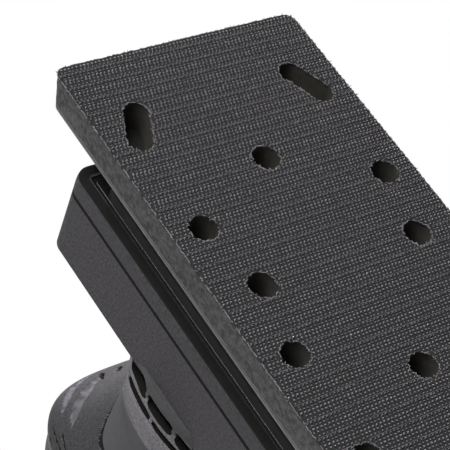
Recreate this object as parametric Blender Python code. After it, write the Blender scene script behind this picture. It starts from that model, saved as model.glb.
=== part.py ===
"""Orbital sander with a third-sheet hook-and-loop pad, modelled as an assembly.

Frame: origin at the centre of the pad's working face, +X towards the front, +Z up.
Sizes below are in millimetres; everything is scaled to metres as it is built.
"""

import math

import bmesh
import bpy

MM = 0.001
GAP = 0.3

# Pad: a stack of hook fabric, foam and moulded plate, narrowing upwards.
PAD_LENGTH = 187.0
PAD_WIDTH = 90.0
PAD_CORNER = 3.8
PAD_TAPER = 1.7 / 14.2
HOOK_TOP = 1.5
FOAM_TOP = 12.2
PLATE_TOP = 14.2
PLATE_RIDGES = ((3.6, 18.4), (9.0, 21.6))
RIDGE_THICKNESS = 1.6
COVER_BOTTOM = 16.0
COVER_TOP = 17.0
COVER_OPENING = 30.0
CARRIER_FLANGE = 23.0
CARRIER_NECK = 16.5
CARRIER_SCREW_CIRCLE = 19.8
HOLE_RADIUS = 4.75
SLOT_RADIUS = 4.3
SLOT_HALF_RUN = 5.7
SLOT_ANGLE = math.radians(25)
SLOT_CENTRE = (64.8, 31.6)
ROUND_HOLES = ((41.3, 0.0), (24.0, 34.0), (0.0, 29.0))

# Drive: the crank pin is at the pad's centre, one throw ahead of the motor shaft.
THROW = 1.2
SHAFT_RADIUS = 4.0
PIN_RADIUS = 5.0
PIN_BOTTOM = 17.2
HUB_RADIUS = 11.0
HUB_BOTTOM = 25.2
HUB_TOP = 33.5
SHAFT_TOP = 137.0
BEARING_BOTTOM = 16.9
BEARING_TOP = 24.8
COUNTERWEIGHT_RADIUS = 27.0
FAN_RADIUS = 33.0
FAN_BLADES = 9
FAN_SWEEP = math.radians(14)

# Base housing: a box with an open underside, over a separate rim.
BASE_LENGTH = 150.4
BASE_WIDTH = 86.0
BASE_CORNER = 6.0
RIM_BOTTOM = 26.8
SEAM_Z = 33.5
BASE_TOP = 58.7
WALL = 2.5
RIM_LIP = 3.8
MOTOR_HOLE = 38.0
SEAL_SIZE = (134.0, 74.0)
SEAL_THICKNESS = 3.0

# Grip body: height, reach forward, reach back, half width, squareness.
AXIS_X = 4.0
BODY_SECTIONS = (
    (59.0, 49.5, 42.0, 46.0, 2.0),
    (67.0, 48.8, 41.5, 45.2, 2.0),
    (76.0, 48.0, 41.0, 44.5, 2.0),
    (84.0, 46.5, 40.0, 43.2, 2.05),
    (92.0, 45.0, 40.0, 42.3, 2.1),
    (100.0, 45.0, 42.0, 42.2, 2.3),
    (108.0, 48.0, 47.0, 44.0, 2.6),
    (118.0, 54.0, 56.0, 47.0, 2.9),
    (128.0, 61.7, 65.0, 47.4, 3.8),
    (140.0, 66.6, 71.0, 48.8, 2.6),
    (148.0, 66.2, 70.0, 47.5, 2.8),
    (155.0, 60.0, 64.0, 42.0, 2.7),
    (160.0, 47.0, 52.0, 32.0, 2.4),
    (163.0, 24.0, 30.0, 16.0, 2.2),
)
COLLAR_TOP = 76.0
SKIRT_BOTTOM = 55.0
SHELL_TOP = 140.0
CAP_TOP = 163.0
CAP_THICKNESS = 3.0
VENT_ROWS = ((60.2, 63.0, -80.0), (65.4, 70.0, -87.0))
VENTS_PER_ROW = 16
VENT_RIB = math.radians(2.5)

# Rear fittings.
PORT_Z = 46.0
PORT_RADIUS = 10.6
PORT_BORE = 8.8
PORT_FRONT = -73.0
PORT_REAR = -94.0
ADAPTER_FRONT = -79.5
ADAPTER_REAR = -124.0
INLET_Z = 95.0
INLET_RADIUS = 6.8
SWITCH_CENTRE = (-50.0, 0.0, 157.6)
SWITCH_TILT = math.radians(-15)
ROCKER_REST = math.radians(-6)
BEZEL_SIZE = (27.2, 19.2)
BEZEL_WINDOW = (22.4, 14.4)
LEG_SPOTS = ((55.0, 23.0), (55.0, -23.0), (-55.0, 23.0), (-55.0, -23.0))
SCREW_SPOTS = ((38.0, 116.0), (-38.0, 116.0), (50.0, 132.0), (-54.0, 132.0))
SCREW_HOLE_RADIUS = 4.0
LABEL_THICKNESS = 0.7

MATERIALS = {
    "hook_fabric": ((0.035, 0.034, 0.038), 0.95, 0.0),
    "foam": ((0.065, 0.064, 0.066), 0.9, 0.0),
    "black_plastic": ((0.02, 0.02, 0.02), 0.35, 0.0),
    "charcoal_plastic": ((0.055, 0.053, 0.057), 0.5, 0.0),
    "soft_rubber": ((0.035, 0.034, 0.036), 0.75, 0.0),
    "steel": ((0.55, 0.55, 0.56), 0.3, 1.0),
    "aluminium": ((0.7, 0.7, 0.71), 0.4, 1.0),
    "copper": ((0.7, 0.32, 0.16), 0.35, 1.0),
    "iron": ((0.22, 0.22, 0.23), 0.5, 1.0),
    "printed_label": ((0.045, 0.044, 0.047), 0.4, 0.0),
}


def clear_scene():
    for obj in list(bpy.data.objects):
        bpy.data.objects.remove(obj, do_unlink=True)


def material(name):
    found = bpy.data.materials.get(name)
    if found:
        return found
    colour, roughness, metallic = MATERIALS[name]
    made = bpy.data.materials.new(name)
    made.use_nodes = True
    shader = made.node_tree.nodes["Principled BSDF"]
    shader.inputs["Base Color"].default_value = (*colour, 1.0)
    shader.inputs["Roughness"].default_value = roughness
    shader.inputs["Metallic"].default_value = metallic
    return made


def add_object(name, points, faces, finish=None, parent=None):
    """One mesh object from points in millimetres, with its faces turned outwards."""
    mesh = bpy.data.meshes.new(name)
    mesh.from_pydata([[c * MM for c in p] for p in points], [], faces)
    shape = bmesh.new()
    shape.from_mesh(mesh)
    bmesh.ops.recalc_face_normals(shape, faces=shape.faces)
    shape.to_mesh(mesh)
    shape.free()
    mesh.shade_smooth()
    mesh.set_sharp_from_angle(angle=math.radians(35))
    obj = bpy.data.objects.new(name, mesh)
    bpy.context.scene.collection.objects.link(obj)
    if finish:
        mesh.materials.append(material(finish))
    else:
        obj.hide_render = True
        obj.display_type = "WIRE"
    if parent:
        obj.parent = parent
        obj.matrix_parent_inverse = parent.matrix_basis.inverted()
    return obj


def add_joint(name, place):
    """An empty on a joint's axis, for the pieces that turn or slide about it."""
    empty = bpy.data.objects.new(name, None)
    empty.location = [c * MM for c in place]
    bpy.context.scene.collection.objects.link(empty)
    return empty


def combine(obj, tool, operation="DIFFERENCE"):
    modifier = obj.modifiers.new(operation.lower(), "BOOLEAN")
    modifier.operation = operation
    modifier.object = tool
    modifier.solver = "EXACT"


def bridge(rings):
    """Quads between successive rings of equal length."""
    count = len(rings[0])
    points = [p for ring in rings for p in ring]
    faces = []
    for level in range(len(rings) - 1):
        low = level * count
        for i in range(count):
            j = (i + 1) % count
            faces.append((low + i, low + j, low + count + j, low + count + i))
    return points, faces


def loft(name, rings, finish=None, parent=None):
    """A solid through the rings, closed at both ends."""
    points, faces = bridge(rings)
    count = len(rings[0])
    faces.append(tuple(range(count))[::-1])
    faces.append(tuple(range(len(points) - count, len(points))))
    return add_object(name, points, faces, finish, parent)


def tube(name, outer, inner, finish=None, parent=None):
    """A wall between outer rings, taken upwards, and inner rings, taken back down."""
    rings = list(outer) + list(inner)[::-1] + [outer[0]]
    points, faces = bridge(rings)
    last = len(points) - len(outer[0])
    faces = [tuple(i % last for i in face) for face in faces]
    return add_object(name, points[:last], faces, finish, parent)


def at_height(outline, z):
    return [(x, y, z) for x, y in outline]


def circle(radius, count, centre=(0.0, 0.0), start=0.0):
    return [
        (
            centre[0] + radius * math.cos(start + math.tau * i / count),
            centre[1] + radius * math.sin(start + math.tau * i / count),
        )
        for i in range(count)
    ]


def rounded_rectangle(length, width, corner, steps=4):
    points = []
    for quarter in range(4):
        middle = math.radians(45 + 90 * quarter)
        cx = math.copysign(length / 2 - corner, math.cos(middle))
        cy = math.copysign(width / 2 - corner, math.sin(middle))
        for step in range(steps + 1):
            angle = math.radians(90 * quarter + 90 * step / steps)
            points.append((cx + corner * math.cos(angle), cy + corner * math.sin(angle)))
    return points


def stadium(centre, half_run, radius, angle, steps=6):
    points = []
    for end in (0, 1):
        turn = angle + math.pi * end
        cx = centre[0] + half_run * math.cos(turn)
        cy = centre[1] + half_run * math.sin(turn)
        for step in range(steps + 1):
            a = turn - math.pi / 2 + math.pi * step / steps
            points.append((cx + radius * math.cos(a), cy + radius * math.sin(a)))
    return points


def turned(name, profile, finish=None, parent=None, centre=(0.0, 0.0), count=24):
    """A ring-shaped solid: the closed profile of (radius, height) turned about +Z."""
    rings = [at_height(circle(r, count, centre), z) for r, z in profile]
    points, faces = bridge(rings + [rings[0]])
    last = len(points) - count
    faces = [tuple(i % last for i in face) for face in faces]
    return add_object(name, points[:last], faces, finish, parent)


def rod(name, profile, finish=None, parent=None, centre=(0.0, 0.0), count=24):
    """A solid of revolution: (radius, height) from bottom to top, with flat ends."""
    rings = [at_height(circle(r, count, centre), z) for r, z in profile]
    return loft(name, rings, finish, parent)


def along_x(points, x, y, z):
    """Points drawn about +Z, turned so that +Z runs towards -X from (x, y, z)."""
    return [(x - pz, y + py, z + px) for px, py, pz in points]


def pipe_along_x(name, profile, place, finish=None, parent=None, count=24):
    """A ring-shaped solid turned about a line that runs rearwards from the place."""
    rings = [along_x(at_height(circle(r, count), run), *place) for r, run in profile]
    points, faces = bridge(rings + [rings[0]])
    last = len(points) - count
    faces = [tuple(i % last for i in face) for face in faces]
    return add_object(name, points[:last], faces, finish, parent)


def block(name, low, high, finish=None, parent=None):
    outline = [(low[0], low[1]), (high[0], low[1]), (high[0], high[1]), (low[0], high[1])]
    return loft(name, [at_height(outline, low[2]), at_height(outline, high[2])], finish, parent)


# Pad -----------------------------------------------------------------------


def pad_outline(z, inset=0.0):
    """The pad's outline at a height: its sides lean inwards as they rise."""
    lean = z * PAD_TAPER + inset
    corner = max(PAD_CORNER - inset * 0.5, 1.0)
    return rounded_rectangle(PAD_LENGTH - 2 * lean, PAD_WIDTH - 2 * lean, corner)


def dust_hole_outlines():
    outlines = []
    for x, y in ROUND_HOLES:
        spots = {(sx * x, sy * y) for sx in (1, -1) for sy in (1, -1)}
        outlines += [circle(HOLE_RADIUS, 12, spot) for spot in sorted(spots)]
    for sx in (1, -1):
        for sy in (1, -1):
            centre = (sx * SLOT_CENTRE[0], sy * SLOT_CENTRE[1])
            outlines.append(stadium(centre, SLOT_HALF_RUN, SLOT_RADIUS, -sx * sy * SLOT_ANGLE))
    return outlines


def dust_hole_cutter():
    """All the pad's dust holes as one set of upright prisms."""
    points = []
    faces = []
    for outline in dust_hole_outlines():
        count = len(outline)
        first = len(points)
        points += at_height(outline, -2.0)
        points += at_height(outline, PLATE_TOP + 0.1)
        faces.append(tuple(range(first, first + count))[::-1])
        faces.append(tuple(range(first + count, first + 2 * count)))
        for i in range(count):
            j = (i + 1) % count
            faces.append((first + i, first + j, first + count + j, first + count + i))
    return add_object("dust_hole_cutter", points, faces)


def build_pad(orbit):
    holes = dust_hole_cutter()
    layers = (
        ("hook_facing", 0.0, HOOK_TOP, "hook_fabric"),
        ("foam_cushion", HOOK_TOP + GAP, FOAM_TOP, "foam"),
    )
    for name, low, high, finish in layers:
        rings = [at_height(pad_outline(z), z) for z in (low, high)]
        combine(loft(name, rings, finish, orbit), holes)
    build_backing_plate(orbit, holes)
    build_dust_channel_cover(orbit)
    build_bearing_carrier(orbit)


def build_backing_plate(orbit, holes):
    low = FOAM_TOP + GAP
    rings = [at_height(pad_outline(z), z) for z in (low, PLATE_TOP)]
    plate = loft("backing_plate", rings, "black_plastic", orbit)
    combine(plate, holes)
    for number, (inset, top) in enumerate(PLATE_RIDGES, 1):
        levels = (PLATE_TOP - 0.6, top)
        outer = [at_height(pad_outline(PLATE_TOP, inset), z) for z in levels]
        inner = [at_height(pad_outline(PLATE_TOP, inset + RIDGE_THICKNESS), z) for z in levels]
        combine(plate, tube(f"plate_ridge_{number}", outer, inner), "UNION")


def build_dust_channel_cover(orbit):
    """The lid over the pad's dust channels, open around the crank."""
    inset = PLATE_RIDGES[-1][0] + RIDGE_THICKNESS + GAP
    levels = (COVER_BOTTOM, COVER_TOP)
    cover = loft(
        "dust_channel_cover",
        [at_height(pad_outline(PLATE_TOP, inset), z) for z in levels],
        "black_plastic",
        orbit,
    )
    opening = [at_height(circle(COVER_OPENING, 32), z) for z in (COVER_BOTTOM - 1, COVER_TOP + 1)]
    combine(cover, loft("cover_opening", opening))


def build_bearing_carrier(orbit):
    floor = PLATE_TOP + GAP
    seat = BEARING_BOTTOM - GAP
    rim = BEARING_TOP + 0.2
    profile = (
        (3.0, floor),
        (CARRIER_FLANGE, floor),
        (CARRIER_FLANGE, floor + 2.0),
        (CARRIER_NECK, floor + 3.0),
        (CARRIER_NECK, rim),
        (13.3, rim),
        (13.3, seat),
        (3.0, seat),
    )
    turned("bearing_carrier", profile, "aluminium", orbit)
    levels = (BEARING_BOTTOM, BEARING_TOP)
    bearing = [(10.2, levels[0]), (13.0, levels[0]), (13.0, levels[1]), (10.2, levels[1])]
    turned("pad_bearing_outer_ring", bearing, "steel", orbit)
    for number in range(4):
        angle = math.radians(45 + 90 * number)
        spot = [CARRIER_SCREW_CIRCLE * f(angle) for f in (math.cos, math.sin)]
        head = ((2.4, 17.6), (2.4, 19.0), (1.6, 19.8))
        rod(f"carrier_screw_{number + 1}", head, "steel", orbit, spot, count=10)


# Rotor ---------------------------------------------------------------------


def build_rotor(spin):
    axis = (-THROW, 0.0)
    build_crank(spin, axis)
    shaft = ((3.0, HUB_TOP + GAP), (SHAFT_RADIUS, 35.0), (SHAFT_RADIUS, 136.0), (3.2, SHAFT_TOP))
    rod("motor_shaft", shaft, "steel", spin, axis, count=16)
    build_fan(spin, axis)
    sleeve = SHAFT_RADIUS + GAP
    rings = (
        ("winding_lower", 16.5, 71.0, 77.5, "copper"),
        ("armature_core", 19.0, 77.8, 108.2, "iron"),
        ("winding_upper", 16.5, 108.5, 114.5, "copper"),
        ("commutator", 10.0, 116.0, 126.5, "copper"),
    )
    for name, radius, low, high, finish in rings:
        profile = ((sleeve, low), (radius, low), (radius, high), (sleeve, high))
        turned(name, profile, finish, spin, axis, count=20)


def build_crank(spin, axis):
    levels = (HUB_BOTTOM, HUB_TOP)
    hub = rod("crank_hub", [(HUB_RADIUS, z) for z in levels], "steel", spin, axis)
    pin = rod("crank_pin_shape", ((PIN_RADIUS, PIN_BOTTOM), (PIN_RADIUS, HUB_BOTTOM + 1.0)))
    combine(hub, pin, "UNION")
    low = BEARING_BOTTOM + 0.1
    bore = PIN_RADIUS + GAP
    inner = ((bore, low), (7.8, low), (7.8, BEARING_TOP), (bore, BEARING_TOP))
    turned("pad_bearing_inner_ring", inner, "steel", spin)
    arc = [math.radians(100 + 160 * i / 10) for i in range(11)]
    near = HUB_RADIUS + GAP + 0.1
    outline = []
    for radius, angles in ((COUNTERWEIGHT_RADIUS, arc), (near, arc[::-1])):
        outline += [(axis[0] + radius * math.cos(a), radius * math.sin(a)) for a in angles]
    rings = [at_height(outline, z) for z in (26.0, 35.5)]
    loft("counterweight", rings, "iron", spin)


def build_fan(spin, axis):
    inner = SHAFT_RADIUS + GAP
    disc = ((inner, 38.0), (FAN_RADIUS, 38.0), (FAN_RADIUS, 39.6))
    boss = ((9.0, 39.6), (9.0, 50.0), (inner, 50.0))
    fan = turned("cooling_fan", disc + boss, "black_plastic", spin, axis)
    for number in range(FAN_BLADES):
        lead = math.tau * number / FAN_BLADES
        sweep = lead + FAN_SWEEP
        across = (-math.sin(lead) * 0.8, math.cos(lead) * 0.8)
        near = (axis[0] + 8.4 * math.cos(lead), 8.4 * math.sin(lead))
        tip = FAN_RADIUS - 1.0
        far = (axis[0] + tip * math.cos(sweep), tip * math.sin(sweep))
        outline = [
            (near[0] - across[0], near[1] - across[1]),
            (far[0] - across[0], far[1] - across[1]),
            (far[0] + across[0], far[1] + across[1]),
            (near[0] + across[0], near[1] + across[1]),
        ]
        blade = loft(f"fan_blade_{number}", [at_height(outline, z) for z in (39.0, 49.0)])
        combine(fan, blade, "UNION")


# Housing -------------------------------------------------------------------


def base_outline(inset=0.0):
    corner = max(BASE_CORNER - inset, 1.0)
    return rounded_rectangle(BASE_LENGTH - 2 * inset, BASE_WIDTH - 2 * inset, corner)


def build_base():
    outer = [(0.6, RIM_BOTTOM), (0.0, RIM_BOTTOM + 0.8), (0.0, SEAM_Z - GAP)]
    outer += [(WALL + GAP, SEAM_Z - GAP), (WALL + GAP, SEAM_Z + 1.2)]
    lip = RIM_LIP + 0.8
    inner = [(RIM_LIP, RIM_BOTTOM), (lip, RIM_BOTTOM + 1.0), (lip, SEAM_Z + 1.2)]
    levels = [at_height(base_outline(inset), z) for inset, z in outer]
    hollow = [at_height(base_outline(inset), z) for inset, z in inner]
    tube("base_rim", levels, hollow, "black_plastic")

    rings = ((0.0, SEAM_Z), (0.0, BASE_TOP - 1.6), (0.5, BASE_TOP - 0.5), (1.6, BASE_TOP))
    solid = [at_height(base_outline(inset), z) for inset, z in rings]
    shell = loft("base_shell", solid, "charcoal_plastic")
    cavity = [at_height(base_outline(WALL), z) for z in (SEAM_Z - 3, BASE_TOP - WALL)]
    combine(shell, loft("base_cavity", cavity))
    rings = [at_height(circle(MOTOR_HOLE, 32), z) for z in (BASE_TOP - 6, BASE_TOP + 6)]
    combine(shell, loft("motor_hole", rings))
    rings = [
        along_x(at_height(circle(PORT_RADIUS + GAP, 24), run), -70.0, 0.0, PORT_Z)
        for run in (0.0, 12.0)
    ]
    combine(shell, loft("port_hole", rings))
    build_dust_path()
    build_legs()


def build_dust_path():
    run = PORT_FRONT - PORT_REAR
    profile = ((PORT_BORE, 0.0), (PORT_RADIUS, 0.0), (PORT_RADIUS, run), (PORT_BORE, run))
    pipe_along_x("dust_port", profile, (PORT_FRONT, 0.0, PORT_Z), "black_plastic")
    length, width = SEAL_SIZE
    inside = [side - 2 * SEAL_THICKNESS for side in SEAL_SIZE]
    levels = (24.5, 32.5)
    seal_outer = [at_height(rounded_rectangle(length, width, 8, 3), z) for z in levels]
    seal_inner = [at_height(rounded_rectangle(*inside, 5, 3), z) for z in levels]
    tube("dust_seal", seal_outer, seal_inner, "soft_rubber")


def build_legs():
    """Flexible posts that tie the pad to the housing and stop it turning."""
    profile = ((6.5, 17.5), (6.5, 22.5), (4.6, 26.0), (4.6, 44.0), (6.5, 47.5), (6.5, 55.8))
    for number, spot in enumerate(LEG_SPOTS, 1):
        rod(f"pad_leg_{number}", profile, "soft_rubber", None, spot, count=14)


def section_at(z):
    """The grip body's section at a height, between the two nearest given ones."""
    for low, high in zip(BODY_SECTIONS, BODY_SECTIONS[1:]):
        if z <= high[0]:
            share = (z - low[0]) / (high[0] - low[0])
            return tuple(a + (b - a) * share for a, b in zip(low, high))
    return BODY_SECTIONS[-1]


def body_point(z, angle, offset=0.0):
    _, front, back, half, square = section_at(z)
    c = math.cos(angle)
    s = math.sin(angle)
    reach = front - AXIS_X if c > 0 else back + AXIS_X
    x = AXIS_X + (reach + offset) * math.copysign(abs(c) ** (2 / square), c)
    y = (half + offset) * math.copysign(abs(s) ** (2 / square), s)
    return (x, y, z)


def body_ring(z, offset=0.0, count=36):
    return [body_point(z, math.tau * (i + 0.5) / count, offset) for i in range(count)]


def skin_half_width(x, z):
    """Half the grip body's width where its skin crosses the given x."""
    _, front, back, half, square = section_at(z)
    reach = front - AXIS_X if x > AXIS_X else back + AXIS_X
    return half * (1 - (abs(x - AXIS_X) / reach) ** square) ** (1 / square)


def heights_between(low, high):
    middle = [row[0] for row in BODY_SECTIONS if low < row[0] < high]
    return [low, *middle, high]


def build_vent_collar():
    heights = heights_between(BASE_TOP + GAP, COLLAR_TOP)
    outer = [body_ring(z) for z in heights]
    inner = [body_ring(z, -WALL) for z in heights]
    collar = tube("vent_collar", outer, inner, "charcoal_plastic")
    combine(collar, build_collar_skirts(), "UNION")
    step = math.tau / VENTS_PER_ROW
    for row, (low, high, first_rib) in enumerate(VENT_ROWS):
        for number in range(VENTS_PER_ROW):
            start = math.radians(first_rib) + step * number + VENT_RIB / 2
            sweep = [start + (step - VENT_RIB) * i / 2 for i in range(3)]
            outline = [(AXIS_X + 54 * math.cos(a), 54 * math.sin(a)) for a in sweep]
            outline += [(AXIS_X + 36 * math.cos(a), 36 * math.sin(a)) for a in reversed(sweep)]
            rings = [at_height(outline, z) for z in (low, high)]
            combine(collar, loft(f"vent_cutter_{row}_{number}", rings))


def build_collar_skirts():
    """The two crescents where the round collar stands out past the base's flat sides."""
    outline = [p[:2] for p in body_ring(BASE_TOP)]
    skirts = loft("collar_skirts", [at_height(outline, z) for z in (SKIRT_BOTTOM, BASE_TOP + 1.5)])
    side = BASE_WIDTH / 2 + GAP
    between = block("between_skirts", (-60.0, -side, SKIRT_BOTTOM - 5), (60.0, side, BASE_TOP + 5))
    combine(skirts, between)
    return skirts


def build_grip_shells():
    heights = heights_between(COLLAR_TOP + GAP, SHELL_TOP)
    inlet = [
        along_x(at_height(circle(INLET_RADIUS + GAP, 16), run), -20.0, 0.0, INLET_Z)
        for run in (0.0, 60.0)
    ]
    inlet_hole = loft("inlet_hole", inlet)
    screw_hole = build_screw_hole_cutter()
    for side, name in ((1, "grip_shell_left"), (-1, "grip_shell_right")):
        outer = [body_ring(z) for z in heights]
        inner = [body_ring(z, -WALL) for z in heights]
        shell = tube(name, outer, inner, "charcoal_plastic")
        low, high = sorted((0.15 * side, 80.0 * side))
        half = block(f"{name}_half", (-120.0, low, 60.0), (120.0, high, 170.0))
        combine(shell, half, "INTERSECT")
        combine(shell, inlet_hole)
        if side > 0:
            combine(shell, screw_hole)
        build_label_plate(side)


def across_y(points, x, y, z):
    """Points drawn about +Z, turned so that +Z runs towards -Y from (x, y, z)."""
    return [(x + px, y - pz, z + py) for px, py, pz in points]


def build_screw_hole_cutter():
    points = []
    faces = []
    for x, z in SCREW_SPOTS:
        top = skin_half_width(x, z) + 8
        first = len(points)
        outline = circle(SCREW_HOLE_RADIUS, 12)
        rings = [across_y(at_height(outline, run), x, top, z) for run in (0.0, 16.0)]
        some_points, some_faces = bridge(rings)
        some_faces += [tuple(range(12))[::-1], tuple(range(12, 24))]
        points += some_points
        faces += [tuple(first + i for i in face) for face in some_faces]
    return add_object("screw_hole_cutter", points, faces)


def build_screws():
    for number, (x, z) in enumerate(SCREW_SPOTS, 1):
        top = skin_half_width(x, z) - 1.0
        profile = ((2.6, 0.0), (3.5, 0.6), (3.5, 2.4), (1.6, 2.9), (1.6, 9.0))
        rings = [across_y(at_height(circle(r, 12), run), x, top, z) for r, run in profile]
        loft(f"grip_screw_{number}", rings, "steel")


def label_edges(turn):
    """Lowest and highest point of a label plate, at an angle from straight ahead."""
    low = 79.0 + 19.0 * max(0.0, (95.0 - turn) / 50.0) ** 1.6
    high = 109.0 - 9.0 * max(0.0, (66.0 - turn) / 24.0) ** 1.5
    return low, high


def build_label_plate(side):
    """A thin blank plate on the neck's side, a wedge that narrows to the front."""
    name = "label_plate_left" if side > 0 else "label_plate_right"
    turns = [47.0 + 78.0 * i / 8 for i in range(9)]
    shares = (0.0, 0.25, 0.5, 0.75, 1.0)
    points = []
    for offset in (GAP, GAP + LABEL_THICKNESS):
        for share in shares:
            for turn in turns:
                low, high = label_edges(turn)
                z = low + (high - low) * share
                points.append(body_point(z, side * math.radians(turn), offset))
    add_object(name, points, slab_faces(len(turns), len(shares)), "printed_label")


def slab_faces(wide, tall):
    """Faces of a thin slab: an inner and an outer grid of points, joined at the edge."""
    layer = wide * tall
    faces = []
    for row in range(tall - 1):
        for i in range(wide - 1):
            a = row * wide + i
            quad = (a, a + 1, a + wide + 1, a + wide)
            faces.append(quad[::-1])
            faces.append(tuple(layer + k for k in quad))
    edge = list(range(wide))
    edge += [row * wide + wide - 1 for row in range(1, tall)]
    edge += [(tall - 1) * wide + i for i in range(wide - 2, -1, -1)]
    edge += [row * wide for row in range(tall - 2, 0, -1)]
    for a, b in zip(edge, edge[1:] + edge[:1]):
        faces.append((a, b, layer + b, layer + a))
    return faces


def build_palm_cap():
    heights = heights_between(SHELL_TOP + GAP, CAP_TOP)
    cap = loft("palm_cap", [body_ring(z) for z in heights], "soft_rubber")
    hollow = []
    for z in heights:
        drop = CAP_THICKNESS if z > SHELL_TOP + 5 else CAP_THICKNESS - 1.0
        hollow.append(body_ring(z - drop, -CAP_THICKNESS))
    combine(cap, loft("palm_cap_hollow", hollow))
    half_x, half_y = (side / 2 + GAP for side in BEZEL_SIZE)
    combine(cap, switch_box("switch_opening", half_x, half_y, -12.0, 12.0))


# Switch, bearings and rear fittings ------------------------------------------


def switch_points(points):
    """Points about the switch's own centre, tilted to lie in the cap's rear slope."""
    placed = []
    for x, y, z in points:
        across = x * math.cos(SWITCH_TILT) + z * math.sin(SWITCH_TILT)
        up = -x * math.sin(SWITCH_TILT) + z * math.cos(SWITCH_TILT)
        placed.append((SWITCH_CENTRE[0] + across, SWITCH_CENTRE[1] + y, SWITCH_CENTRE[2] + up))
    return placed


def switch_box(name, half_x, half_y, low, high):
    outline = rounded_rectangle(2 * half_x, 2 * half_y, 2.0, 2)
    return loft(name, [switch_points(at_height(outline, z)) for z in (low, high)])


def build_switch(rocker_joint):
    levels = (-5.0, 2.2)
    outside = rounded_rectangle(*BEZEL_SIZE, 2.0, 2)
    window = rounded_rectangle(*BEZEL_WINDOW, 1.2, 2)
    outer = [switch_points(at_height(outside, z)) for z in levels]
    inner = [switch_points(at_height(window, z)) for z in levels]
    tube("switch_bezel", outer, inner, "black_plastic")
    side = [(-10.0, 2.6), (-10.0, -2.0), (-5.0, -4.0), (5.0, -4.0), (10.0, -2.0), (10.0, 2.6)]
    side += [(5.0, 3.5), (0.0, 3.2), (-5.0, 3.5)]
    c = math.cos(ROCKER_REST)
    s = math.sin(ROCKER_REST)
    side = [(x * c + z * s, z * c - x * s) for x, z in side]
    rings = [switch_points([(x, y, z) for x, z in side]) for y in (-6.4, 6.4)]
    loft("switch_rocker", rings, "black_plastic", rocker_joint)
    block("switch_module", (-54.0, -9.0, 126.0), (-32.0, 9.0, 145.0), "black_plastic")


def build_motor_mounts():
    axis = (-THROW, 0.0)
    sleeve = SHAFT_RADIUS + GAP
    lower = ((sleeve, 55.5), (13.0, 55.5), (13.0, 62.5), (sleeve, 62.5))
    turned("lower_bearing", lower, "steel", None, axis, count=20)
    upper = ((sleeve, 129.0), (11.0, 129.0), (11.0, 136.0), (sleeve, 136.0))
    turned("upper_bearing", upper, "steel", None, axis, count=20)
    bracket = ((13.3, 55.5), (16.5, 55.5), (16.5, 60.0), (36.5, 60.0), (36.5, 62.5), (13.3, 62.5))
    turned("motor_bracket", bracket, "aluminium", None, axis)
    seat = ((11.3, 129.0), (14.5, 129.0), (14.5, 137.5), (11.3, 137.5))
    turned("upper_bearing_seat", seat, "soft_rubber", None, axis, count=20)
    stator = ((20.5, 77.0), (33.0, 77.0), (33.0, 109.0), (20.5, 109.0))
    turned("field_stator", stator, "iron", None, axis)
    for side, name in ((1, "brush_holder_left"), (-1, "brush_holder_right")):
        near, far = sorted((side * 10.6, side * 27.0))
        block(name, (axis[0] - 4.0, near, 117.5), (axis[0] + 4.0, far, 125.0), "black_plastic")


def build_rear_fittings(adapter_joint):
    neck = ((3.6, 0.0), (INLET_RADIUS, 0.0), (INLET_RADIUS, 7.6))
    flange = ((9.0, 8.2), (9.0, 11.0), (3.6, 11.0))
    pipe_along_x("cord_inlet", neck + flange, (-38.0, 0.0, INLET_Z), "soft_rubber", count=16)
    run = ADAPTER_FRONT - ADAPTER_REAR
    sleeve = PORT_RADIUS + GAP
    profile = (
        (sleeve, 0.0),
        (13.2, 0.0),
        (13.2, 17.0),
        (17.0, 24.0),
        (17.0, run),
        (14.8, run),
        (14.8, 25.0),
        (sleeve, 18.0),
    )
    place = (ADAPTER_FRONT, 0.0, PORT_Z)
    pipe_along_x("dust_adapter", profile, place, "black_plastic", adapter_joint)


def build():
    clear_scene()
    spin = add_joint("shaft_spin", (-THROW, 0.0, HUB_TOP))
    orbit = add_joint("pad_orbit", (0.0, 0.0, HUB_BOTTOM))
    rocker = add_joint("rocker_tilt", SWITCH_CENTRE)
    adapter = add_joint("adapter_pull", (ADAPTER_FRONT, 0.0, PORT_Z))
    build_pad(orbit)
    build_rotor(spin)
    build_base()
    build_vent_collar()
    build_grip_shells()
    build_screws()
    build_palm_cap()
    build_switch(rocker)
    build_motor_mounts()
    build_rear_fittings(adapter)


build()
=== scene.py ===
"""Looks of the orbital sander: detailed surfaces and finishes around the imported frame.

Frame: origin at the centre of the pad's working face, +X towards the front, +Z up.
Sizes are in millimetres and angles in degrees; meshes are scaled to metres as they are made.
"""

import math

import bmesh
import bpy
import numpy as np
from mathutils import Matrix, Vector


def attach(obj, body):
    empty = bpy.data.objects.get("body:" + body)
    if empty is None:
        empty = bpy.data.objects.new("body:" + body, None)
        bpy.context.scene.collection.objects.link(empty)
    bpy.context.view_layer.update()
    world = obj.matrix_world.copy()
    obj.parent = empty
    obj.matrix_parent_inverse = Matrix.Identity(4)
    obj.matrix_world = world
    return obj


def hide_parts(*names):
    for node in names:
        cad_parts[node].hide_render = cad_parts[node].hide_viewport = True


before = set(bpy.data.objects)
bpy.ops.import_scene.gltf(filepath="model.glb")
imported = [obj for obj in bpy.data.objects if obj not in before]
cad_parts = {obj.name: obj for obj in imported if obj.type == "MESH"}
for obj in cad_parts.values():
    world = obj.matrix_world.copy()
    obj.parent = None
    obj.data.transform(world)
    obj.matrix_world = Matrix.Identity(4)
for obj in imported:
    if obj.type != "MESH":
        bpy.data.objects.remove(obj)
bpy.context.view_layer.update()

MM = 0.001

# Camera of the reference view, from below the pad.
CAMERA_PLACE = (-208.8, -298.8, -363.7)
CAMERA_FORWARD = (0.41592, 0.54849, 0.72538)
CAMERA_UP = (0.73247, 0.2707, -0.62467)
CAMERA_LENS = 142.2
CAMERA_SENSOR = 36.0
CAMERA_SHIFT = 0.12

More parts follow.
